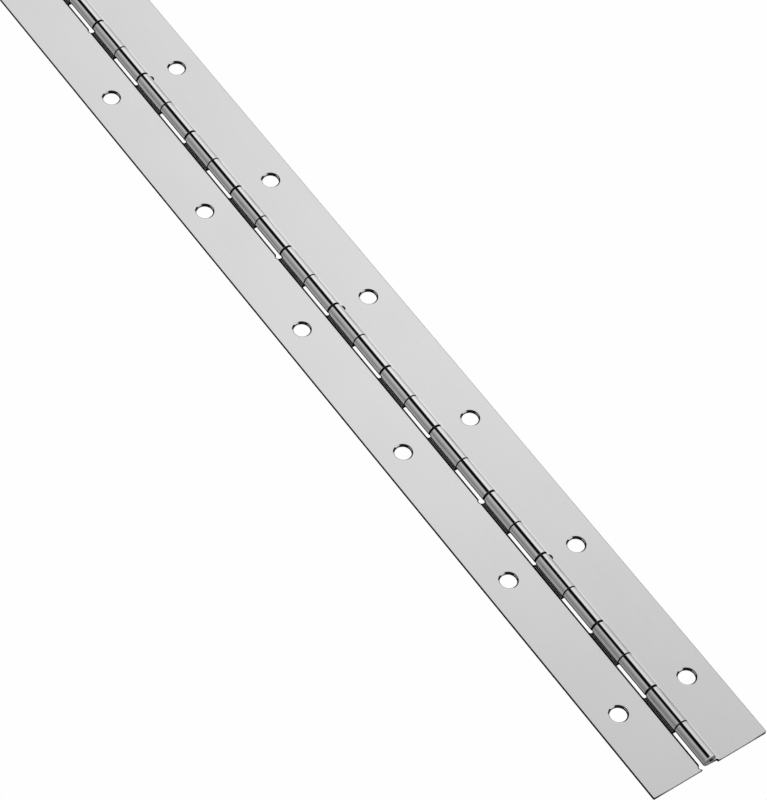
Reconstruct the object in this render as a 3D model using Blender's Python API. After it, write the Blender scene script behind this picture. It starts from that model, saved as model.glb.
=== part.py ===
"""Continuous (piano) hinge, lying open and flat, with its knuckles up.

X runs along the pin, the frame leaf is on the -Y side, the door leaf on the +Y side, and the leaves'
undersides lie on Z = 0. Each leaf is one strip of sheet: a flat plate whose tabs pass under the pin and
curl up and over it. Both leaves have the same tabs and notches, and the frame leaf is turned end for end.
"""

import math

import bmesh
import bpy

MM = 0.001

# The whole hinge
LENGTH = 609.6 * MM
OPEN_WIDTH = 38.1 * MM
SHEET = 1.0 * MM
BARREL_RADIUS = 2.15 * MM
PIN_CLEARANCE = 0.05 * MM

# The stamping: two knuckles and two notches repeat at each pitch
PITCH = 50.8 * MM
LONG_KNUCKLE = 12.75 * MM
SHORT_KNUCKLE = 11.85 * MM
TIGHT_GAP = 0.25 * MM
SLACK_GAP = 0.55 * MM
NOTCH_EDGE = 2.65 * MM
NOTCH_CORNER = 0.5 * MM

# The round relief in one root corner of every second wide notch
RELIEF_RADIUS = 0.9 * MM
RELIEF_REACH = 3.2 * MM
RELIEF_INSET = 0.8 * MM

# The curl is a chain of equal turns, past three quarters of a circle and stopping just above its own plate
CURL_TURN = math.radians(22.5)
CURL_STEPS = 13

# Screw holes, punched from above, so that their top rims are opened out
HOLE_RADIUS = 2.45 * MM
HOLE_RIM_RADIUS = 2.9 * MM
HOLE_RIM_DEPTH = 0.45 * MM
HOLE_LINE = 11.4 * MM
DOOR_FIRST_HOLE = 25.5 * MM
FRAME_FIRST_HOLE = 24.7 * MM

# The pin stops short of the barrel's two ends
PIN_RECESS = 0.25 * MM
PIN_END_BEVEL = 0.2 * MM

# Fineness of the other round shapes
PIN_SIDES = 16
HOLE_SIDES = 18
RELIEF_SIDES = 14
CORNER_STEPS = 3

# How far a cutter runs past what it cuts
OVERRUN = 1.0 * MM

BORE_RADIUS = BARREL_RADIUS - SHEET
PIN_RADIUS = BORE_RADIUS - PIN_CLEARANCE
PLATE_TOP = SHEET - BARREL_RADIUS
WIDE_NOTCH = TIGHT_GAP + LONG_KNUCKLE + SLACK_GAP
DOOR_FIRST_LONG = SLACK_GAP
FRAME_FIRST_LONG = SHORT_KNUCKLE + TIGHT_GAP + SHORT_KNUCKLE + SLACK_GAP
PITCHES = round(LENGTH / PITCH)


def clear_scene():
    for thing in list(bpy.data.objects):
        bpy.data.objects.remove(thing)


def metal(name, colour, roughness):
    made = bpy.data.materials.new(name)
    made.use_nodes = True
    shader = made.node_tree.nodes["Principled BSDF"]
    shader.inputs["Base Color"].default_value = (*colour, 1)
    shader.inputs["Metallic"].default_value = 1
    shader.inputs["Roughness"].default_value = roughness
    return made


def prism(bm, outline, offset):
    """A closed prism in bm: the flat outline, a list of points in space, pushed along offset."""
    face = bm.faces.new([bm.verts.new(point) for point in outline])
    pushed = bmesh.ops.extrude_face_region(bm, geom=[face])["geom"]
    bmesh.ops.translate(bm, vec=offset, verts=[v for v in pushed if isinstance(v, bmesh.types.BMVert)])


def turned(bm, profile, sides, place):
    """A closed turned solid in bm, from (height, radius) rings. place puts a ring's point in space."""
    rings = []
    for height, radius in profile:
        angles = [2 * math.pi * k / sides for k in range(sides)]
        ring = [place(radius * math.cos(a), radius * math.sin(a), height) for a in angles]
        rings.append([bm.verts.new(point) for point in ring])
    for low, high in zip(rings, rings[1:]):
        for k in range(sides):
            bm.faces.new([low[k - 1], low[k], high[k], high[k - 1]])
    bm.faces.new(rings[0])
    bm.faces.new(rings[-1])


def finished(name, bm, material=None):
    """The bmesh as an object whose origin is on the pin's axis."""
    bmesh.ops.recalc_face_normals(bm, faces=bm.faces)
    mesh = bpy.data.meshes.new(name)
    bm.to_mesh(mesh)
    bm.free()
    mesh.shade_smooth()
    mesh.set_sharp_from_angle(angle=math.radians(35))
    made = bpy.data.objects.new(name, mesh)
    made.location.z = BARREL_RADIUS
    bpy.context.scene.collection.objects.link(made)
    if material:
        mesh.materials.append(material)
    return made


def curl_point(radius, angle):
    """A point of the curl as (y, z). The angle turns from straight down past -Y and over the top."""
    return -radius * math.sin(angle), -radius * math.cos(angle)


def leaf_outline():
    """The leaf's cross-section as (y, z): the plate on the +Y side and its curl round the pin's axis."""
    angles = [CURL_TURN * k for k in range(CURL_STEPS + 1)]
    outer = [curl_point(BARREL_RADIUS, angle) for angle in angles]
    inner = [curl_point(BORE_RADIUS, angle) for angle in reversed(angles)]
    edge = OPEN_WIDTH / 2
    return [(edge, -BARREL_RADIUS), *outer, *inner, (edge, PLATE_TOP)]


def notch_outline(start, end):
    """A notch from above as (distance from the leaf's first end, y), with its two root corners rounded."""
    outline = [(start, -OVERRUN - BARREL_RADIUS), (end, -OVERRUN - BARREL_RADIUS)]
    for centre, first in ((end - NOTCH_CORNER, 0), (start + NOTCH_CORNER, 90)):
        for k in range(CORNER_STEPS + 1):
            turn = math.radians(first + 90 * k / CORNER_STEPS)
            along = centre + NOTCH_CORNER * math.cos(turn)
            across = NOTCH_EDGE - NOTCH_CORNER + NOTCH_CORNER * math.sin(turn)
            outline.append((along, across))
    return outline


def notches(first_long):
    """(start, end) of each notch that reaches into the leaf, measured from the leaf's first end."""
    found = []
    for pitch in range(-1, PITCHES + 1):
        long_start = first_long + pitch * PITCH
        wide_start = long_start + LONG_KNUCKLE
        narrow_start = wide_start + WIDE_NOTCH + SHORT_KNUCKLE
        found.append((wide_start, wide_start + WIDE_NOTCH))
        found.append((narrow_start, long_start + PITCH))
    # A notch that stops level with the leaf's end is carried on past it
    found = [(a, b + OVERRUN if abs(b - LENGTH) < SLACK_GAP / 2 else b) for a, b in found]
    return [(a, b) for a, b in found if b > SLACK_GAP / 2 and a < LENGTH - SLACK_GAP / 2]


def cutter(name, bm, leaf):
    """The bmesh as a hidden cutter, taken out of the leaf by a Boolean."""
    tool = finished(name, bm)
    tool.hide_render = True
    tool.display_type = "WIRE"
    tool.parent = leaf
    tool.location.z = 0
    cut = leaf.modifiers.new(name, "BOOLEAN")
    cut.object = tool
    cut.operation = "DIFFERENCE"
    cut.solver = "EXACT"


def leaf(name, first_long, first_hole, material):
    """One leaf, its plate on +Y and its first end at +X. Its first long knuckle starts at first_long."""
    first_end = LENGTH / 2
    bm = bmesh.new()
    prism(bm, [(-first_end, y, z) for y, z in leaf_outline()], (LENGTH, 0, 0))
    made = finished(name, bm, material)

    bm = bmesh.new()
    floor = -BARREL_RADIUS - OVERRUN
    height = 2 * (BARREL_RADIUS + OVERRUN)
    for start, end in notches(first_long):
        outline = notch_outline(start, end)
        prism(bm, [(first_end - s, y, floor) for s, y in outline], (0, 0, height))
    cutter(name + "_notches", bm, made)

    bm = bmesh.new()
    hole = [(floor, HOLE_RADIUS), (PLATE_TOP - HOLE_RIM_DEPTH, HOLE_RADIUS)]
    flare = (HOLE_RIM_RADIUS - HOLE_RADIUS) / HOLE_RIM_DEPTH
    above = SHEET / 5
    hole.append((PLATE_TOP + above, HOLE_RIM_RADIUS + above * flare))
    relief = [(floor, RELIEF_RADIUS), (PLATE_TOP + above, RELIEF_RADIUS)]
    relief_line = RELIEF_REACH - RELIEF_RADIUS
    for pitch in range(PITCHES):
        x = first_end - first_hole - pitch * PITCH
        turned(bm, hole, HOLE_SIDES, lambda u, v, z, x=x: (x + u, HOLE_LINE + v, z))
    for pitch in range(1, PITCHES, 2):
        end = first_long + LONG_KNUCKLE + WIDE_NOTCH + pitch * PITCH
        x = first_end - end + RELIEF_INSET
        turned(bm, relief, RELIEF_SIDES, lambda u, v, z, x=x: (x + u, relief_line + v, z))
    cutter(name + "_holes", bm, made)
    return made


def pin(name, material):
    """The wire pin. It turns with the door leaf, whose first knuckle starts a slack gap in from +X."""
    near = LENGTH / 2 - SLACK_GAP - PIN_RECESS
    far = PIN_RECESS - LENGTH / 2
    end_radius = PIN_RADIUS - PIN_END_BEVEL
    profile = [
        (far, end_radius),
        (far + PIN_END_BEVEL, PIN_RADIUS),
        (near - PIN_END_BEVEL, PIN_RADIUS),
        (near, end_radius),
    ]
    bm = bmesh.new()
    turned(bm, profile, PIN_SIDES, lambda u, v, x: (x, u, v))
    return finished(name, bm, material)


def main():
    clear_scene()
    plated = metal("bright_plated_steel", (0.78, 0.78, 0.77), 0.12)
    wire = metal("steel_wire", (0.55, 0.55, 0.54), 0.3)
    leaf("door_leaf", DOOR_FIRST_LONG, DOOR_FIRST_HOLE, plated)
    frame_leaf = leaf("frame_leaf", FRAME_FIRST_LONG, FRAME_FIRST_HOLE, plated)
    frame_leaf.rotation_euler.z = math.pi
    pin("hinge_pin", wire)


main()
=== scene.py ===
"""Continuous hinge: two punched and curled leaves of bright plated sheet on one drawn wire pin.

Laid out as an add-on and run as a script. Every size is in millimetres until a mesh is written.
Each leaf is worked out as a flat punched blank and then bent: along the leaf is u, away from the
pin is w, and up through the sheet is n. Where w is negative the sheet is curled round the pin.
"""

import functools
import math

import bpy
import numpy as np
from mathutils import Matrix, Vector
from mathutils.geometry import delaunay_2d_cdt


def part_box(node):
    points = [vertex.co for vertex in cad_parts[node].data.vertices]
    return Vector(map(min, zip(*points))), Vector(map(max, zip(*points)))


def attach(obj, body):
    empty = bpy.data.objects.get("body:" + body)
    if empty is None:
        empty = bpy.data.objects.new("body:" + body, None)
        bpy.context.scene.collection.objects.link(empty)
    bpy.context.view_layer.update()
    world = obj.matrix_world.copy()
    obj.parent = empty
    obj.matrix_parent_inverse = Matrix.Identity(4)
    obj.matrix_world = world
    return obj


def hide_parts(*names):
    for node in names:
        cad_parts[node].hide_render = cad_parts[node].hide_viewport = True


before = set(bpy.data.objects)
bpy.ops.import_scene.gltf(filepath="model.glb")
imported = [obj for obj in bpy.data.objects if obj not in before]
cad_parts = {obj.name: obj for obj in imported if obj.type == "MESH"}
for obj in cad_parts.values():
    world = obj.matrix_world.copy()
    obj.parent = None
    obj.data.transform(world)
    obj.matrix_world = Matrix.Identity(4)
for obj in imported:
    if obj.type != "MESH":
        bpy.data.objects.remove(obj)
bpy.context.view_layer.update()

bl_info = {
    "name": "Continuous hinge",
    "version": (1, 0, 0),
    "blender": (4, 5, 0),
    "location": "3D View > Sidebar > Hinge",
    "description": "Builds a continuous hinge's leaves and pin, with their metals, floor, light and camera",
    "category": "Object",
}

MM = 0.001
LEAF_BOX = [np.array(corner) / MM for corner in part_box("door_leaf")]
PIN_BOX = [np.array(corner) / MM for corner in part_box("hinge_pin")]
LENGTH = LEAF_BOX[1][0] - LEAF_BOX[0][0]
LEAF_WIDTH = LEAF_BOX[1][1]
BARREL_RADIUS = LEAF_BOX[1][2] / 2

# Fineness of the shapes
CURL_STEP = math.radians(5)
CORNER_STEPS = 5
RELIEF_STEPS = 16
HOLE_SIDES = 48
PIN_SIDES = 64
LONG_SIDE_STEPS = 96
SHORT_SIDE_STEPS = 3
PIN_STEPS = 24
BEVEL_STEPS = 6
# Rings on the pin's domed ends, as shares of the radius inside the bevel
CROWN_SHARES = np.linspace(0.12, 0.92, 5)

# Turns, in degrees, at which a cut edge's upper roll and its foot have a row
ROLL_TURNS = (0, 22.5, 45, 67.5, 90)
FOOT_TURNS = (0, 45, 90)

# How far each row of a cut edge is from the plated face (0) into the bare cut (1), which is painted
# near-black as shade
PLATED = 0.18
BARE_AND_SHADED_ROWS = (PLATED, 1, 1, 1, 1, 1, 1, PLATED)

# The same for a screw hole's rim, painted as shade by the way round: plated under its flare in patches and
# bare, near-black, in others, so that every hole shows the same dark arcs and lighter streaks. The way
# round from +X, in degrees, and how bare the flare's outer half, its inner half and the wall are there
RIM_SHADE = np.array([
    (0, 0.5, 0.3, 1), (12, 0.9, 0.9, 1), (66, 0.9, 0.9, 1), (76, 0.9, 0.05, 1), (104, 0.9, 0.05, 1),
    (112, 0.9, 0.9, 1), (160, 0.9, 0.9, 1), (170, 0.1, 0.1, 0.15), (196, 0.1, 0.1, 0.15),
    (206, 0.9, 0.9, 1), (226, 0.9, 0.9, 1), (240, 0.3, 0.2, 1), (345, 0.3, 0.2, 1), (360, 0.5, 0.3, 1),
])

# The slit beside the barrel's end: its outer corner and its root, as shares of its width
SLIT_CORNER = 0.25
SLIT_ROOT = 0.7

# Where the leaf's short sides start past the notch edge, and the least roll where a relief runs out, mm
SIDE_START = 1.0
LEAST_ROLL = 0.03

# The longest mitre, as the least value of one plus the cosine of the corner's turn
MITRE_LIMIT = 0.8

# Where the curl starts to lean and over how much of its turn, and over what width the plate tilts, mm
LEAN_START = math.radians(187)
LEAN_BLEND = math.radians(10)
TILT_BLEND = 2.0


def size(name, description, default, **options):
    """A size in millimetres for a property group."""
    return bpy.props.FloatProperty(name=name, description=description, default=default, min=0, **options)


class StampingSizes(bpy.types.PropertyGroup):
    sheet: size("Sheet", "Thickness of the sheet, mm", 1.0)
    pitch: size("Pitch", "Length that repeats, from hole to hole, mm", 50.8)
    long_knuckle: size("Long knuckle", "Length of the longer of the two tabs in a pitch, mm", 12.75)
    short_knuckle: size("Short knuckle", "Length of the shorter tab in a pitch, mm", 11.85)
    tight_gap: size("Tight gap", "Seam at one end of each knuckle, mm", 0.25)
    slack_gap: size("Slack gap", "Seam at the other end of each knuckle, mm", 0.55)
    notch_edge: size("Notch edge", "Distance of the notches' edges from the pin's axis, mm", 2.65)
    root_radius: size("Root radius", "Radius at the roots of the tabs, mm", 0.5)
    curl_end: bpy.props.FloatProperty(
        name="Curl",
        description="How far the tabs are curled round the pin",
        default=math.radians(292.5),
        subtype="ANGLE",
    )
    frame_lean: bpy.props.FloatProperty(
        name="Frame curl lean",
        description="How far the frame leaf's curl leans from a true round past its top",
        default=math.radians(4),
        subtype="ANGLE",
    )
    door_tilt: bpy.props.FloatProperty(
        name="Door plate tilt",
        description="How far the door leaf's plate leans from level",
        default=math.radians(0.6),
        subtype="ANGLE",
    )
    relief_radius: size("Relief radius", "Radius of the round relief in every second wide notch, mm", 0.9)
    relief_reach: size("Relief reach", "How far the relief reaches from the pin's axis, mm", 3.2)
    relief_inset: size("Relief inset", "Distance of the relief's centre from the tab beside it, mm", 0.8)
    corner: size("Leaf corner", "Radius of the leaf's outer corners, mm", 0.35)
    cut_roll: size("Punched edge", "Width of the rolled-over edge round a notch, mm", 0.35)
    trim_roll: size("Sheared edge", "Width of the rolled-over edge along a sheared side, mm", 0.12)
    foot: size("Foot", "Radius of the lower edge, mm", 0.06)
    knuckle_foot: size("Knuckle edge", "Radius of the knuckles' outer edges, mm", 0.12)
    end_foot: size("End knuckle edge", "Radius of the outer edge at the barrel's end, mm", 0.3)


class HoleSizes(bpy.types.PropertyGroup):
    radius: size("Hole radius", "Radius of a screw hole at the bottom, mm", 2.45)
    rim: size("Rim", "How much wider a hole's top rim is, all round, mm", 0.45)
    rim_depth: size("Rim depth", "Depth of the rim, mm", 0.32)
    line: size("Hole line", "Distance of the row of holes from the pin's axis, mm", 11.4)
    door_first: size("Door leaf's first hole", "Its distance from the leaf's end, mm", 25.5)
    frame_first: size("Frame leaf's first hole", "Its distance from the leaf's end, mm", 24.7)


class PinSizes(bpy.types.PropertyGroup):
    bevel: size("Sheared bevel", "Width of the worn edge round the pin's ends, mm", 0.2)
    dome: size("Dome", "Height of the middle of the pin's ends, mm", 0.42)


class MetalColours(bpy.types.PropertyGroup):
    plate: bpy.props.FloatVectorProperty(
        name="Plating", description="Colour of the bright plating", default=(0.79, 0.79, 0.79),
        subtype="COLOR", min=0, max=1,
    )
    # The cut steel's colour is near-black: painted shade on the cut edges and hole walls
    sheared: bpy.props.FloatVectorProperty(
        name="Sheared edge", description="Colour of the cut steel", default=(0.016, 0.016, 0.017),
        subtype="COLOR", min=0, max=1,
    )
    trimmed: bpy.props.FloatVectorProperty(
        name="Knuckle end", description="Colour of the trimmed ends of the knuckles",
        default=(0.8, 0.8, 0.8), subtype="COLOR", min=0, max=1,
    )
    wire: bpy.props.FloatVectorProperty(
        name="Pin wire", description="Colour of the drawn wire", default=(0.5, 0.5, 0.5),
        subtype="COLOR", min=0, max=1,
    )
    gloss: bpy.props.FloatProperty(
        name="Plating roughness", description="Roughness of the plating", default=0.07, min=0, max=1,
        subtype="FACTOR",
    )


class StageSettings(bpy.types.PropertyGroup):
    camera_place: bpy.props.FloatVectorProperty(
        name="Camera", description="Where the camera stands", default=(0.66133, -0.41678, 0.90723),
        subtype="TRANSLATION", unit="LENGTH",
    )
    camera_aim: bpy.props.FloatVectorProperty(
        name="Aim", description="The point the camera looks at", default=(0.15936, -0.0058, 0.001),
        subtype="TRANSLATION", unit="LENGTH",
    )
    camera_roll: bpy.props.FloatProperty(
        name="Roll", description="How far the camera leans to its right", default=math.radians(-5.607),
        subtype="ANGLE",
    )
    lens: bpy.props.FloatProperty(
        name="Lens", description="Focal length", default=176.884, unit="CAMERA", min=1
    )
    floor: bpy.props.FloatVectorProperty(
        name="Floor", description="Colour of the floor", default=(0.38, 0.38, 0.38), subtype="COLOR",
        min=0, max=1,
    )
    floor_size: bpy.props.FloatProperty(
        name="Floor size", description="Side of the square floor", default=12, unit="LENGTH", min=0
    )


# Surfaces


def arc(centre, radius, first, last, steps=CORNER_STEPS):
    """Points of a circular arc: centre plus radius times the cosine and sine of the turn, in degrees."""
    turn = np.radians(np.linspace(first, last, steps + 1))
    return np.stack([centre[0] + radius * np.cos(turn), centre[1] + radius * np.sin(turn)], axis=1)


def column(u, levels):
    """Points at one u and many w."""
    return np.stack([np.full(len(levels), float(u)), np.asarray(levels, float)], axis=1)


class Path:
    """A closed line round the blank, with the metal on its left, and how its edge is finished.

    The finish is the widths of its upper roll and its foot, and whether it was trimmed (1) or torn (0).
    """

    def __init__(self):
        self.points, self.finish, self.count = [], [], 0

    def add(self, points, roll, foot, trim=0.0):
        """Adds the points and returns their indices."""
        first, self.count = self.count, self.count + len(points)
        finish = np.empty((len(points), 3))
        finish[:, 0], finish[:, 1], finish[:, 2] = roll, foot, trim
        self.points.append(points)
        self.finish.append(finish)
        return np.arange(first, self.count)

    def arrays(self):
        """The points, and their rolls, feet and trims."""
        return np.concatenate(self.points), *np.concatenate(self.finish).T


def relief_turn(cut, across):
    """The angle, in degrees, at which the relief's circle is that far across from its centre."""
    return math.degrees(math.asin(across / cut.relief_radius))


def blank_outline(cut, first_long):
    """The blank's outline, and for each tab the indices of its two sides from the plate to its end."""
    path = Path()
    roll, side_roll, foot, knuckle = cut.cut_roll, cut.trim_roll, cut.foot, cut.knuckle_foot
    root, corner, edge = cut.root_radius, cut.corner, cut.notch_edge
    tab_end = -BARREL_RADIUS * cut.curl_end
    levels = -BARREL_RADIUS * np.arange(0, cut.curl_end - corner / BARREL_RADIUS, CURL_STEP)
    relief_line = cut.relief_reach - cut.relief_radius
    relief_first = 180 - relief_turn(cut, edge - relief_line)
    relief_last = math.degrees(math.acos(cut.relief_inset / cut.relief_radius))
    wide = cut.tight_gap + cut.long_knuckle + cut.slack_gap
    start = first_long + cut.pitch * np.arange(-1, round(LENGTH / cut.pitch) + 1)
    short = start + cut.long_knuckle + wide
    tabs = [(a, a + cut.long_knuckle, False) for a in start]
    tabs += [(a, a + cut.short_knuckle, place % 2 == 0) for place, a in enumerate(short)]
    inside = cut.tight_gap / 2
    tabs = sorted(tab for tab in tabs if tab[0] > -inside and tab[1] < LENGTH + inside)
    sides = []
    for a, b, relieved in tabs:
        # The knuckle side that shows at the hinge's end was trimmed to length
        trimmed = 1.0 if a < edge / 2 else 0.0
        if a < inside:
            a = 0.0
        elif trimmed:
            outer, inner = SLIT_CORNER * a, SLIT_ROOT * a
            path.add(arc((outer, edge + outer), outer, 180, 270, 3), side_roll, foot)
            path.add(arc((a - inner, edge - inner), inner, 90, 0), roll / 2, foot)
        elif relieved:
            centre = (a - cut.relief_inset, relief_line)
            path.add(arc(centre, cut.relief_radius, relief_first, -relief_last, RELIEF_STEPS), roll, foot)
        else:
            path.add(arc((a - root, edge - root), root, 90, 0), roll, foot)
        end_foot = cut.end_foot if trimmed else knuckle
        down = path.add(column(a, levels), foot, end_foot, trimmed)
        near = path.add(arc((a + corner, tab_end + corner), corner, 180, 270), foot, end_foot, trimmed)
        far = path.add(arc((b - corner, tab_end + corner), corner, 270, 360), foot, knuckle)
        up = path.add(column(b, levels[::-1]), foot, knuckle)
        path.add(arc((b + root, edge - root), root, 180, 90), roll, foot)
        sides.append((np.concatenate([down, near]), np.concatenate([far, up])[::-1]))
    if abs(tabs[-1][1] + wide - LENGTH) < inside:
        # The last wide notch and its relief run out through the leaf's end
        centre = (LENGTH - cut.relief_inset, relief_line)
        lip = arc(centre, cut.relief_radius, relief_first, relief_last, RELIEF_STEPS)
        path.add(lip, np.clip((LENGTH - lip[:, 0]) / 2, LEAST_ROLL, roll), foot)
    elif tabs[-1][1] < LENGTH - 3 * root:
        path.add(arc((LENGTH - corner, edge + corner), corner, 270, 360), side_roll, foot)
    side = LEAF_WIDTH - corner
    short_side = np.linspace(edge + SIDE_START, side, SHORT_SIDE_STEPS + 1)
    path.add(column(LENGTH, short_side[:-1]), side_roll, foot, 1.0)
    path.add(arc((LENGTH - corner, side), corner, 0, 90), side_roll, foot)
    along = np.linspace(LENGTH, 0, LONG_SIDE_STEPS + 1)[1:-1]
    path.add(np.stack([along, np.full(len(along), LEAF_WIDTH)], axis=1), side_roll, foot)
    path.add(arc((corner, side), corner, 90, 180), side_roll, foot)
    path.add(column(0, short_side[-2::-1]), side_roll, foot, 1.0)
    return *path.arrays(), sides


def edge_rows(sheet, rolls, depths, feet):
    """The cut edge's profile at every point of an outline, as rows of inset, height, outward and upward
    share of the normal.

    The upper rows follow a quarter ellipse, roll wide and depth high: inset is roll times one minus
    the sine of the turn, and the drop is depth times one minus its cosine. The lower rows are a
    quarter circle.
    """
    turn = np.radians(ROLL_TURNS)[None, :]
    roll, depth, foot = rolls[:, None], depths[:, None], feet[:, None]
    inset = roll * (1 - np.sin(turn))
    height = sheet - depth * (1 - np.cos(turn))
    out, up = depth * np.sin(turn), roll * np.cos(turn)
    scale = np.hypot(out, up)
    below = np.radians(FOOT_TURNS)[None, :] + 0 * roll
    inset = np.concatenate([inset, foot * (1 - np.cos(below))], axis=1)
    height = np.concatenate([height, foot * (1 - np.sin(below))], axis=1)
    out = np.concatenate([out / scale, np.cos(below)], axis=1)
    up = np.concatenate([up / scale, -np.sin(below)], axis=1)
    return inset, height, out, up


def cut_edge(sheet, points, rolls, depths, feet, trims, bare_and_shaded_rows):
    """The edge surface along a closed outline: at each point the profile's inset is taken along the mitre.

    It returns (points, normals, cut, trim), flattened with the profile's rows running fastest.
    bare_and_shaded_rows says how bare each row is, for the whole outline or for each of its points; the
    bare cut is painted near-black as shade.
    """
    ahead = np.roll(points, -1, axis=0) - points
    ahead /= np.linalg.norm(ahead, axis=1)[:, None]
    behind = np.roll(ahead, 1, axis=0)
    outward = np.stack([ahead[:, 1] + behind[:, 1], -ahead[:, 0] - behind[:, 0]], axis=1)
    shared = 1 + (ahead * behind).sum(axis=1)[:, None]
    mitre = outward / np.maximum(shared, MITRE_LIMIT)
    normal = outward / np.linalg.norm(outward, axis=1)[:, None]
    inset, height, out, up = edge_rows(sheet, rolls, depths, feet)
    plan = points[:, None, :] - mitre[:, None, :] * inset[:, :, None]
    solid = np.concatenate([plan, height[:, :, None]], axis=2)
    normals = np.concatenate([normal[:, None, :] * out[:, :, None], up[:, :, None]], axis=2)
    cut = np.broadcast_to(bare_and_shaded_rows, inset.shape)
    trim = np.broadcast_to(trims[:, None], inset.shape)
    return solid.reshape(-1, 3), normals.reshape(-1, 3), cut.reshape(-1), trim.reshape(-1)


def band_faces(count, rows, first=0):
    """Quads of a closed band: count outline points, each with that many rows."""
    here = np.arange(count)[:, None] * rows + np.arange(rows - 1)[None, :]
    there = np.roll(here, -1, axis=0)
    return np.stack([here, here + 1, there + 1, there], axis=2).reshape(-1, 4) + first


def plate_triangles(plan, loops):
    """Triangles, by vertex number, over the flat plate: inside the first loop and outside the others.

    plan holds every vertex's (u, w), and each loop is an array of vertex numbers. The triangulation is
    Delaunay's with the loops kept as edges. A triangle stays if a line from its middle towards +w
    crosses the loops an odd number of times.
    """
    whole_hull, tolerance = 0, 1e-6
    used = np.concatenate(loops)
    following = np.concatenate([np.roll(loop, -1) for loop in loops])
    number = {vertex: k for k, vertex in enumerate(used.tolist())}
    edges = [(k, number[vertex]) for k, vertex in enumerate(following.tolist())]
    flat = [Vector(point) for point in plan[used].tolist()]
    _, _, faces, origins, _, _ = delaunay_2d_cdt(flat, edges, [], whole_hull, tolerance, True)
    faces = used[np.array([ids[0] for ids in origins])[np.array(faces)]]
    middle = plan[faces].mean(axis=1)[:, None, :]
    start, step = plan[used][None], (plan[following] - plan[used])[None]
    spans = (start[:, :, 0] > middle[:, :, 0]) != (start[:, :, 0] + step[:, :, 0] > middle[:, :, 0])
    share = (middle[:, :, 0] - start[:, :, 0]) / np.where(step[:, :, 0] == 0, 1, step[:, :, 0])
    above = start[:, :, 1] + share * step[:, :, 1] > middle[:, :, 1]
    return faces[(spans & above).sum(axis=1) % 2 == 1]


def bent(points, normals, lean, tilt):
    """The blank's points and normals carried round the curl, as (u, y, z).

    Where w is negative the turn is -w over the barrel's radius, and a point n up through the sheet is
    the radius less n from the pin's axis: y is minus that times the sine of the turn, and z is the
    barrel's radius minus that times its cosine. Elsewhere y is w and z is n. The normals turn by lean
    more just past the curl's top, as in a curl that isn't quite round, and by tilt over the plate.
    """
    u, w, n = points.T
    turn = np.maximum(-w, 0) / BARREL_RADIUS
    reach = BARREL_RADIUS - n
    y = np.maximum(w, 0) - reach * np.sin(turn)
    z = BARREL_RADIUS - reach * np.cos(turn)
    past_top = 0.5 + 0.5 * np.tanh((turn - LEAN_START) / LEAN_BLEND)
    facing = turn + lean * past_top - tilt * np.clip(w / TILT_BLEND, 0, 1)
    across, through = normals[:, 1], normals[:, 2]
    ny = across * np.cos(facing) + through * np.sin(facing)
    nz = through * np.cos(facing) - across * np.sin(facing)
    return np.stack([u, y, z], axis=1), np.stack([normals[:, 0], ny, nz], axis=1)


def rim_shade_rows(turn):
    """How bare each row of a hole's edge is, at each way round in degrees: painted shade, the same round
    every hole.
    """
    outer, inner, wall = (np.interp(turn % 360, RIM_SHADE[:, 0], RIM_SHADE[:, k]) for k in (1, 2, 3))
    plated = np.full(len(turn), PLATED)
    return np.stack([plated, outer, inner, inner, wall, wall, wall, plated], axis=1)


def leaf_surface(cut, holes, first_long, first_hole, way, lean, tilt):
    """One leaf as a closed surface: (points, normals, quads, triangles, attributes).

    Its first coordinate is u, and its faces point outwards once u is measured towards -X. way is 1 for a
    leaf on the +Y side and -1 for one on the -Y side.
    """
    rows = len(BARE_AND_SHADED_ROWS)
    outline, rolls, feet, trims, sides = blank_outline(cut, first_long)
    layers = [cut_edge(cut.sheet, outline, rolls, 0.5 * rolls, feet, trims, BARE_AND_SHADED_ROWS)]
    quads = [band_faces(len(outline), rows)]
    count = len(outline) * rows

    circle = arc((0, 0), holes.radius, 0, -360, HOLE_SIDES)[:-1]
    even = np.ones(len(circle))
    # The painted shade round each hole, set by its way round from +X
    bare = rim_shade_rows(np.degrees(np.arctan2(way * circle[:, 1], -way * circle[:, 0])))
    hole_loops = []
    for place in first_hole + cut.pitch * np.arange(round(LENGTH / cut.pitch)):
        ring = circle + (place, holes.line)
        finish = (holes.rim * even, holes.rim_depth * even, cut.foot * even, 0 * even)
        layers.append(cut_edge(cut.sheet, ring, *finish, bare))
        quads.append(band_faces(len(ring), rows, count))
        hole_loops.append(count + rows * np.arange(len(ring)))
        count += len(ring) * rows

    points, normals, cut_and_shade, trims = (np.concatenate(parts) for parts in zip(*layers))
    tabbed = np.zeros(len(outline), bool)
    for near, far in sides:
        tabbed[near[1:]] = tabbed[far[1:]] = True
        top = np.stack([near[:-1], near[1:], far[1:], far[:-1]], axis=1) * rows
        quads += [top, top[:, ::-1] + rows - 1]
    plate = np.flatnonzero(~tabbed) * rows
    upper = plate_triangles(points[:, :2], [plate, *hole_loops])
    lower = plate_triangles(points[:, :2], [plate + rows - 1, *[loop + rows - 1 for loop in hole_loops]])
    triangles = np.concatenate([upper, lower[:, ::-1]])
    place, direction = bent(points, normals, lean, tilt)
    # cut marks the bare cut steel, which the plating's material paints near-black as shade
    attributes = {"cut": cut_and_shade, "trim": trims}
    return place, direction, np.concatenate(quads)[:, ::-1], triangles[:, ::-1], attributes


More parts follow.
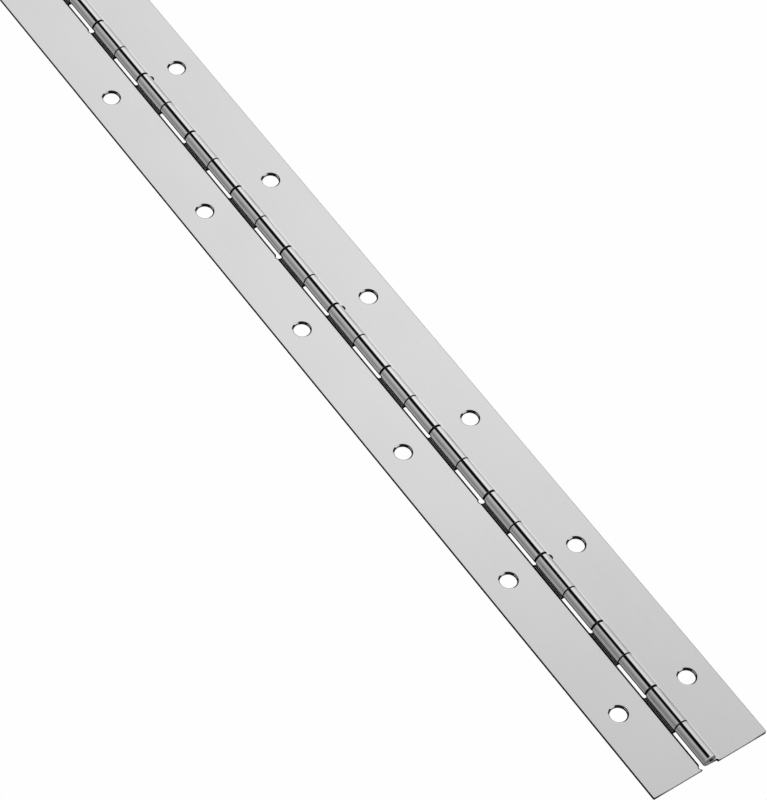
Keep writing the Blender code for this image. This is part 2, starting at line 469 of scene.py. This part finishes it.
def turned_surface(profile, sides):
    """A closed turned surface about X through the pin's axis, as (points, normals, quads, triangles).

    Each profile point (x, radius) becomes a ring whose y and z are the radius times the cosine and sine
    of the turn, and the two ends meet at poles.
    """
    x, radius = np.array(profile).T
    turn = np.linspace(0, 2 * np.pi, sides, endpoint=False)
    ring = np.stack([np.cos(turn), np.sin(turn)], axis=1)
    grid = np.empty((len(x), sides, 3))
    grid[:, :, 0] = x[:, None]
    grid[:, :, 1:] = radius[:, None, None] * ring[None]
    slope = np.stack([-np.gradient(radius), np.gradient(x)], axis=1)
    slope /= np.linalg.norm(slope, axis=1)[:, None]
    normals = np.empty_like(grid)
    normals[:, :, 0] = slope[:, :1]
    normals[:, :, 1:] = slope[:, 1, None, None] * ring[None]
    points = np.concatenate([grid.reshape(-1, 3), [(x[0], 0, 0), (x[-1], 0, 0)]])
    normals = np.concatenate([normals.reshape(-1, 3), [(-1, 0, 0), (1, 0, 0)]])
    here = np.arange(len(x) - 1)[:, None] * sides + np.arange(sides)[None, :]
    there = np.roll(here, -1, axis=1)
    quads = np.stack([here, there, there + sides, here + sides], axis=2).reshape(-1, 4)
    rim = np.arange(sides)
    far = rim + (len(x) - 1) * sides
    low = np.stack([np.roll(rim, -1), rim, np.full(sides, len(points) - 2)], axis=1)
    high = np.stack([far, np.roll(far, -1), np.full(sides, len(points) - 1)], axis=1)
    points[:, 2] += BARREL_RADIUS
    return points, normals, quads, np.concatenate([low, high])


def piece(name, points, normals, quads, triangles, attributes, material, node, body, slot):
    """The surface as an object that stands for the CAD node and rides on its body. slot is not used."""
    mesh = bpy.data.meshes.new(name)
    mesh.from_pydata((points * MM).tolist(), [], quads.tolist() + triangles.tolist())
    mesh.polygons.foreach_set("use_smooth", np.ones(len(mesh.polygons), bool))
    mesh.normals_split_custom_set_from_vertices(normals.tolist())
    for label, values in attributes.items():
        layer = mesh.attributes.new(label, "FLOAT", "POINT")
        layer.data.foreach_set("value", np.ascontiguousarray(values, np.float32))
    mesh.materials.append(material)
    made = bpy.data.objects.new(name, mesh)
    bpy.context.scene.collection.objects.link(made)
    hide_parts(node)
    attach(made, body)


# Metals


class Nodes:
    """Adds and links shader nodes in one tree."""

    def __init__(self, holder):
        holder.use_nodes = True
        self.tree = holder.node_tree
        self.tree.nodes.clear()

    def add(self, kind, settings=None, **sockets):
        """A node. settings are its own attributes, and sockets are values or other nodes' outputs."""
        made = self.tree.nodes.new(kind)
        for key, value in (settings or {}).items():
            setattr(made, key, value)
        for key, value in sockets.items():
            name = key.replace("_", " ")
            socket = made.inputs[int(key[1:]) if key[1:].isdigit() else name]
            if isinstance(value, bpy.types.NodeSocket):
                self.tree.links.new(value, socket)
            else:
                socket.default_value = value
        return made

    def math(self, operation, *values):
        """A Math node's result, with the values in its inputs in order."""
        inputs = {f"i{k}": value for k, value in enumerate(values)}
        return self.add("ShaderNodeMath", {"operation": operation}, **inputs).outputs[0]

    def product(self, *values):
        """All the values multiplied together."""
        return functools.reduce(functools.partial(self.math, "MULTIPLY"), values)

    def total(self, *values):
        """All the values added together."""
        return functools.reduce(functools.partial(self.math, "ADD"), values)

    def span(self, value, low, high, to_low, to_high, smooth=False):
        """value from low to high becomes to_low to to_high, and is held at the ends."""
        settings = {"interpolation_type": "SMOOTHSTEP" if smooth else "LINEAR", "clamp": True}
        ends = {"i1": low, "i2": high, "i3": to_low, "i4": to_high}
        return self.add("ShaderNodeMapRange", settings, i0=value, **ends).outputs[0]

    def spread(self, noise, to_low, to_high):
        """A noise, most of which lies between 0.3 and 0.7, made to run from to_low to to_high."""
        return self.span(noise, 0.3, 0.7, to_low, to_high)

    def noise(self, place, scale, detail=2.0, roughness=0.5):
        """Noise with so many lumps to a metre, or to a metre along each axis if scale is a triple."""
        if hasattr(scale, "__len__"):
            settings = {"vector_type": "POINT"}
            place = self.add("ShaderNodeMapping", settings, Vector=place, Scale=scale).outputs[0]
            scale = 1
        look = {"Scale": scale, "Detail": detail, "Roughness": roughness}
        return self.add("ShaderNodeTexNoise", None, Vector=place, **look).outputs["Fac"]

    def attribute(self, name):
        """One of the mesh's own attributes."""
        return self.add("ShaderNodeAttribute", {"attribute_name": name}).outputs["Fac"]

    def band(self, value, low, high, blur):
        """1 where value is between low and high, fading to 0 within blur inside both."""
        rise = self.span(value, low, low + blur, 0, 1)
        fall = self.span(value, high - blur, high, 1, 0)
        return self.product(rise, fall)

    def mix(self, factor, first, second):
        """Two colours, mixed."""
        return self.add("ShaderNodeMix", {"data_type": "RGBA"}, i0=factor, i6=first, i7=second).outputs[2]

    def blend(self, factor, first, second):
        """Two values, mixed."""
        return self.add("ShaderNodeMix", {"data_type": "FLOAT"}, i0=factor, i2=first, i3=second).outputs[0]

    def scaled(self, colour, factor):
        """A colour times a value."""
        return self.add("ShaderNodeVectorMath", {"operation": "SCALE"}, i0=colour, i3=factor).outputs[0]

    def ramp(self, value, stops):
        """Greys along a ramp, given as (position, level) pairs."""
        made = self.add("ShaderNodeValToRGB", None, Fac=value)
        elements = made.color_ramp.elements
        while len(elements) < len(stops):
            elements.new(0.5)
        # Every position is set before any colour, because moving an element can reorder them
        for element, (position, _) in zip(elements, stops):
            element.position = position
        for element, (_, level) in zip(elements, stops):
            element.color = (level, level, level, 1)
        return made.outputs[0]


def solid(colour):
    """The colour with full alpha."""
    return (*colour, 1)


# Two bands beside the barrel where the sheet is kicked up, as distances from the pin's axis, mm
CREASES = ((2.62, 3.27), (2.06, 2.61))
# How soft the bands' edges are, and the heights between which the bands fade out, mm
CREASE_BLUR = 0.13
CREASE_TOP = (1.1, 1.2)
# How far the normal leans in the bands, as a share of its length
CREASE_LEAN = 0.25

# Heights between which the underside's satin gives way to the bright plating, mm
SATIN_TOP = (0.03, 0.3)

# What the metals' own colours are mottled with, and the near-black painted shade round the pin's ends
CLOUDED_PLATE = (0.786, 0.79, 0.789, 1)
# Ridges in the torn cut steel, painted dark as shade like the cut itself
TORN_RIDGES_PAINTED_DARK = (0.05, 0.05, 0.052, 1)
GROUND_RIDGES = (0.92, 0.92, 0.915, 1)
# Near-black painted shade in the recessed bevel round the pin's ends
RECESS_SHADE_COLOUR = (0.02, 0.02, 0.02, 1)

# Depth of the finest relief, mm
PLATING_DEPTH = 0.008
WIRE_DEPTH = 0.01


def creased(nodes, place):
    """The surface's normal, leaning away from the barrel along two pressed lines in the plate beside it.

    The lean is the size of each band times the sign of y, and it holds below the top of the plate only.
    """
    _, y, z = nodes.add("ShaderNodeSeparateXYZ", None, Vector=place).outputs
    reach = nodes.math("ABSOLUTE", y)
    bands = [nodes.band(reach, low * MM, high * MM, CREASE_BLUR * MM) for low, high in CREASES]
    low, high = CREASE_TOP
    on_plate = nodes.span(z, low * MM, high * MM, CREASE_LEAN, 0)
    lean = nodes.product(nodes.total(*bands), on_plate, nodes.math("SIGN", y))
    aside = nodes.add("ShaderNodeCombineXYZ", None, Y=lean).outputs[0]
    turn = {"vector_type": "VECTOR", "convert_from": "OBJECT", "convert_to": "WORLD"}
    aside = nodes.add("ShaderNodeVectorTransform", turn, Vector=aside).outputs[0]
    normal = nodes.add("ShaderNodeNewGeometry").outputs["Normal"]
    both = nodes.add("ShaderNodeVectorMath", {"operation": "ADD"}, i0=normal, i1=aside).outputs[0]
    return nodes.add("ShaderNodeVectorMath", {"operation": "NORMALIZE"}, i0=both).outputs[0]


def plated_metal(name, colours):
    """Bright plating over rolled sheet, with a satin underside.

    It has faint lines along the strip, cloudy gloss, an uneven plated skin and sparse handling marks.
    Where the sheet was cut the steel is torn and painted near-black as shade, or ground pale at the
    barrel's end.
    """
    made = bpy.data.materials.new(name)
    nodes = Nodes(made)
    place = nodes.add("ShaderNodeTexCoord").outputs["Object"]
    # cut marks the bare cut steel, painted near-black as shade where it isn't trimmed
    cut, trim = nodes.attribute("cut"), nodes.attribute("trim")

    cloud = nodes.noise(place, 55, 3)
    fine_cloud = nodes.noise(place, 420, 3)
    rolled = nodes.noise(place, (12, 2600, 2600), 3, 0.6)
    streaks = nodes.noise(place, (40, 900, 900))
    uneven = nodes.noise(place, 900)
    scuffs = nodes.noise(place, (300, 2400, 2400), 4, 0.7)
    scuffed = nodes.span(scuffs, 0.68, 0.74, 0, 1)
    specks = nodes.span(nodes.noise(place, 1500, 1), 0.77, 0.8, 0, 1)

    shade = nodes.product(
        nodes.spread(cloud, 0.975, 1.015),
        nodes.spread(streaks, 0.988, 1.01),
        nodes.span(specks, 0, 1, 1, 0.97),
        nodes.span(scuffed, 0, 1, 1, 0.965),
    )
    tint = nodes.mix(nodes.span(fine_cloud, 0.35, 0.65, 0, 1), solid(colours.plate), CLOUDED_PLATE)
    plating = nodes.scaled(tint, shade)

    torn = nodes.noise(place, (2400, 2400, 500), 3, 0.7)
    # Torn cut steel, near-black as painted shade
    sheared = nodes.mix(nodes.span(torn, 0.35, 0.7, 0, 1), solid(colours.sheared), TORN_RIDGES_PAINTED_DARK)
    ground = nodes.mix(nodes.spread(torn, 0, 1), solid(colours.trimmed), GROUND_RIDGES)
    cut_and_shade_mask = nodes.span(cut, 0.2, 0.45, 0, 1, True)
    colour = nodes.mix(cut_and_shade_mask, plating, nodes.mix(trim, sheared, ground))

    bright = nodes.total(
        nodes.spread(cloud, colours.gloss * 0.8, colours.gloss * 1.25),
        nodes.span(streaks, 0.35, 0.7, 0, 0.02),
        nodes.math("MULTIPLY", scuffed, 0.07),
        nodes.math("MULTIPLY", specks, 0.05),
    )
    height = nodes.add("ShaderNodeSeparateXYZ", None, Vector=place).outputs[2]
    low, high = SATIN_TOP
    underneath = nodes.span(height, low * MM, high * MM, 1, 0)
    faces = nodes.blend(underneath, bright, nodes.spread(cloud, 0.38, 0.44))
    dull = nodes.math("MULTIPLY", nodes.spread(torn, 0.38, 0.6), nodes.span(trim, 0, 1, 1, 0.5))
    gloss = nodes.blend(cut_and_shade_mask, faces, dull)

    relief = nodes.total(
        nodes.math("MULTIPLY", rolled, 0.12),
        nodes.math("MULTIPLY", uneven, 0.5),
        nodes.math("MULTIPLY", scuffed, -0.15),
        nodes.product(torn, cut_and_shade_mask, 5.0),
    )
    skin = {"Strength": 0.5, "Distance": PLATING_DEPTH * MM, "Normal": creased(nodes, place)}
    bump = nodes.add("ShaderNodeBump", None, Height=relief, **skin).outputs[0]
    finish_metal(nodes, colour, gloss, bump)
    return made


def wire_metal(name, colours):
    """Drawn steel wire: fine lines along its length, a dull film, pits, and painted shade round its ends.
    """
    made = bpy.data.materials.new(name)
    nodes = Nodes(made)
    place = nodes.add("ShaderNodeTexCoord").outputs["Object"]
    # How deep in the painted shade round the pin's ends each point lies
    grime = nodes.attribute("grime")
    drawn = nodes.noise(place, (60, 5000, 5000), 4, 0.65)
    film = nodes.noise(place, 260, 4, 0.6)
    pits = nodes.span(nodes.noise(place, 2600), 0.68, 0.74, 0, 1)
    shade = nodes.product(
        nodes.spread(drawn, 0.9, 1.06), nodes.spread(film, 0.86, 1.05), nodes.span(pits, 0, 1, 1, 0.6)
    )
    # The wire's colour, turned near-black as painted shade in the recess round its ends
    colour = nodes.mix(grime, nodes.scaled(tuple(colours.wire), shade), RECESS_SHADE_COLOUR)
    gloss = nodes.total(nodes.spread(film, 0.22, 0.36), nodes.math("MULTIPLY", grime, 0.25))
    relief = nodes.total(drawn, nodes.math("MULTIPLY", pits, -0.6))
    skin = {"Strength": 0.6, "Distance": WIRE_DEPTH * MM}
    bump = nodes.add("ShaderNodeBump", None, Height=relief, **skin).outputs[0]
    finish_metal(nodes, colour, gloss, bump)
    return made


def finish_metal(nodes, colour, gloss, bump):
    """The metal's shader, with its colour, its roughness and its bumped normal."""
    look = {"Base_Color": colour, "Metallic": 1.0, "Roughness": gloss, "Normal": bump}
    shader = nodes.add("ShaderNodeBsdfPrincipled", None, **look)
    nodes.add("ShaderNodeOutputMaterial", None, Surface=shader.outputs[0])


def metal(name, maker, colours):
    """The metal of that name, made the first time it is asked for."""
    return bpy.data.materials.get(name) or maker(name, colours)


# Stage

# Brightness of the studio by the angle from overhead, positive towards -Y, in degrees
STUDIO = [
    (-180, 0.5), (-105, 0.66), (-90, 0.8), (-70, 0.83), (-55, 0.86), (-45, 1.02), (-34, 0.99), (-27, 0.9),
    (-22, 0.8), (-18.5, 0.06), (-14, 0.006), (10, 0.003), (19, 0.006), (23.5, 0.04), (28.5, 0.24),
    (33, 0.54), (38, 0.6), (46, 0.56), (56, 0.44), (66, 0.39), (76, 0.35), (90, 0.28), (180, 0.4),
]
# How that brightness changes with the X share of the direction
ALONG = [
    (-0.7, 0.98), (-0.6, 1.0), (-0.525, 1.02), (-0.48, 1.06), (-0.45, 1.058), (-0.42, 1.02), (-0.385, 0.93),
    (-0.34, 0.85), (-0.3, 0.78),
]
# What lies past the panels, towards +X and at the far -X end, is an even soft dome
DOME = [(-180, 0.4), (-90, 0.62), (-45, 0.9), (-10, 0.75), (15, 0.3), (40, 0.62), (90, 0.42), (180, 0.4)]
# The X shares of the direction over which the panels give way to the dome
DOME_AHEAD = (-0.22, -0.05)
DOME_BEHIND = (-0.75, -0.6)
# Ramps hold no more than 1, so levels are stored divided by this and multiplied again
BRIGHTEST = 1.1


def studio_world(name):
    """Soft light all round, with one dark gap between the overhead panels on the -X side.

    Its brightness follows the angle from overhead across the hinge, times how it changes along the hinge.
    What is seen directly is plain white.
    """
    world = bpy.data.worlds.new(name)
    nodes = Nodes(world)
    direction = nodes.add("ShaderNodeTexCoord").outputs["Generated"]
    parts = nodes.add("ShaderNodeSeparateXYZ", None, Vector=direction).outputs
    turn = nodes.math("ARCTAN2", nodes.math("MULTIPLY", parts[1], -1.0), parts[2])
    across = nodes.math("ADD", nodes.math("DIVIDE", turn, 2 * math.pi), 0.5)
    panels, dome = (
        nodes.ramp(across, [((angle + 180) / 360, level / BRIGHTEST) for angle, level in levels])
        for levels in (STUDIO, DOME)
    )
    share = nodes.math("ADD", parts[0], 1.0)
    fall = nodes.ramp(share, [(along + 1, level / BRIGHTEST) for along, level in ALONG])
    panels = nodes.add("ShaderNodeVectorMath", {"operation": "MULTIPLY"}, i0=panels, i1=fall).outputs[0]
    ahead = nodes.span(parts[0], *DOME_AHEAD, 0, 1, True)
    behind = nodes.span(parts[0], *DOME_BEHIND, 1, 0, True)
    light = nodes.mix(nodes.math("MAXIMUM", ahead, behind), nodes.scaled(panels, BRIGHTEST), dome)
    light = nodes.scaled(light, BRIGHTEST)
    seen = nodes.add("ShaderNodeLightPath").outputs["Is Camera Ray"]
    seen_white = nodes.mix(seen, light, (1, 1, 1, 1))
    shine = nodes.add("ShaderNodeBackground", None, Color=seen_white, Strength=1.0)
    nodes.add("ShaderNodeOutputWorld", None, Surface=shine.outputs[0])
    return world


def floor_material(name, colour):
    """A pale matt sheet with a very faint cloud in its colour, which is itself seen as plain white."""
    made = bpy.data.materials.new(name)
    nodes = Nodes(made)
    place = nodes.add("ShaderNodeTexCoord").outputs["Object"]
    cloud = nodes.spread(nodes.noise(place, 3), 0.97, 1)
    tone = nodes.scaled(tuple(colour), cloud)
    matt = nodes.add("ShaderNodeBsdfDiffuse", None, Color=tone).outputs[0]
    glow = nodes.add("ShaderNodeEmission", None, Color=(1, 1, 1, 1), Strength=0.99).outputs[0]
    seen = nodes.add("ShaderNodeLightPath").outputs["Is Camera Ray"]
    shader = nodes.add("ShaderNodeMixShader", None, i0=seen, i1=matt, i2=glow)
    nodes.add("ShaderNodeOutputMaterial", None, Surface=shader.outputs[0])
    return made


# Operators


class HINGE_OT_leaves(bpy.types.Operator):
    """Build the door leaf and the frame leaf: one stamping, turned end for end for the frame leaf"""

    bl_idname = "hinge.leaves"
    bl_label = "Leaves"

    def execute(self, context):
        scene = context.scene
        cut, holes = scene.hinge_stamping, scene.hinge_holes
        plated = metal("bright_plated_sheet", plated_metal, scene.hinge_metals)
        door_long = cut.slack_gap
        frame_long = 2 * cut.short_knuckle + cut.tight_gap + cut.slack_gap
        for name, first_long, first_hole, way, lean, tilt in (
            ("door_leaf", door_long, holes.door_first, 1, 0, cut.door_tilt),
            ("frame_leaf", frame_long, holes.frame_first, -1, cut.frame_lean, 0),
        ):
            surface = leaf_surface(cut, holes, first_long, first_hole, way, lean, tilt)
            points, normals = surface[:2]
            points[:, 0] = LENGTH / 2 - points[:, 0]
            normals[:, 0] *= -1
            points[:, :2] *= way
            normals[:, :2] *= way
            piece(name + "_sheet", *surface, plated, name, name, "bright_plate")
        return {"FINISHED"}


class HINGE_OT_pin(bpy.types.Operator):
    """Build the wire pin that runs the whole length of the barrel"""

    bl_idname = "hinge.pin"
    bl_label = "Pin"

    def execute(self, context):
        dome, bevel = context.scene.hinge_pin_sizes.dome, context.scene.hinge_pin_sizes.bevel
        radius = PIN_BOX[1][1]
        near, both_ends = PIN_BOX[1][0], PIN_BOX[0][0] + PIN_BOX[1][0]
        flat = radius - bevel
        shoulder = near - dome - bevel

        # The +X end runs from its parabolic crown out to the shoulder, and the other end mirrors it
        crown = CROWN_SHARES * flat
        height = dome * (1 - (crown / flat) ** 2)
        end = [(near - dome + h, r) for h, r in zip(height, crown)]
        turn = np.radians(np.linspace(90, 0, BEVEL_STEPS + 1))
        end += [(shoulder + bevel * math.sin(a), flat + bevel * math.cos(a)) for a in turn]
        middle = [(x, radius) for x in np.linspace(shoulder, both_ends - shoulder, PIN_STEPS + 1)[1:-1]]
        mirrored = [(both_ends - x, r) for x, r in end[::-1]]
        surface = turned_surface(np.array(end + middle + mirrored)[::-1], PIN_SIDES)

        # The painted shade thickens over the bevel's inner half, and ends a bevel's width down the side
        x, y, z = surface[0].T
        across = np.hypot(y, z - BARREL_RADIUS)
        beyond = np.maximum(x - shoulder, both_ends - shoulder - x)
        grime = np.clip((across - flat) / bevel * 2, 0, 1) * (beyond > -bevel)
        wire = metal("drawn_wire", wire_metal, context.scene.hinge_metals)
        piece("pin_wire", *surface, {"grime": grime}, wire, "hinge_pin", "door_leaf", "pin_wire")
        return {"FINISHED"}


class HINGE_OT_stage(bpy.types.Operator):
    """Lay the floor and set the studio light and the camera"""

    bl_idname = "hinge.stage"
    bl_label = "Floor, light and camera"

    def execute(self, context):
        scene, stage = context.scene, context.scene.hinge_stage
        half = stage.floor_size / 2
        # Just under the leaves, so that nothing shares its plane
        under = -0.05 * MM
        mesh = bpy.data.meshes.new("floor")
        corners = [(-half, -half, under), (half, -half, under), (half, half, under), (-half, half, under)]
        mesh.from_pydata(corners, [], [(0, 1, 2, 3)])
        mesh.materials.append(floor_material("pale_floor", stage.floor))
        floor = bpy.data.objects.new("floor", mesh)
        scene.collection.objects.link(floor)

        scene.world = studio_world("soft_studio")

        lens = bpy.data.cameras.new("camera")
        lens.lens = stage.lens
        lens.sensor_width = 36
        lens.clip_start, lens.clip_end = 0.01, 50
        camera = bpy.data.objects.new("camera", lens)
        scene.collection.objects.link(camera)
        place = Vector(stage.camera_place)
        look = (Vector(stage.camera_aim) - place).to_track_quat("-Z", "Y").to_matrix().to_4x4()
        roll = Matrix.Rotation(-stage.camera_roll, 4, "Z")
        camera.matrix_world = Matrix.Translation(place) @ look @ roll
        scene.camera = camera

        scene.view_settings.view_transform = "Standard"
        scene.view_settings.look = "None"
        return {"FINISHED"}


class HINGE_PT_panel(bpy.types.Panel):
    """The hinge's sizes and colours, with a button for each operator"""

    bl_idname = "HINGE_PT_panel"
    bl_label = "Continuous hinge"
    bl_space_type = "VIEW_3D"
    bl_region_type = "UI"
    bl_category = "Hinge"

    def draw(self, context):
        layout, scene = self.layout, context.scene
        for group in GROUPS:
            settings = getattr(scene, group)
            box = layout.box()
            for name in settings.__annotations__:
                box.prop(settings, name)
        for operator in STEPS:
            layout.operator(operator.bl_idname)


GROUPS = {
    "hinge_stamping": StampingSizes,
    "hinge_holes": HoleSizes,
    "hinge_pin_sizes": PinSizes,
    "hinge_metals": MetalColours,
    "hinge_stage": StageSettings,
}
STEPS = (HINGE_OT_leaves, HINGE_OT_pin, HINGE_OT_stage)


def register():
    for cls in (*GROUPS.values(), *STEPS, HINGE_PT_panel):
        bpy.utils.register_class(cls)
    for name, group in GROUPS.items():
        setattr(bpy.types.Scene, name, bpy.props.PointerProperty(type=group))


def unregister():
    for name in GROUPS:
        delattr(bpy.types.Scene, name)
    for cls in (HINGE_PT_panel, *reversed(STEPS), *reversed(GROUPS.values())):
        bpy.utils.unregister_class(cls)


def main():
    """Builds the hinge on its stage."""
    register()
    bpy.ops.hinge.leaves()
    bpy.ops.hinge.pin()
    bpy.ops.hinge.stage()


if __name__ == "__main__":
    main()
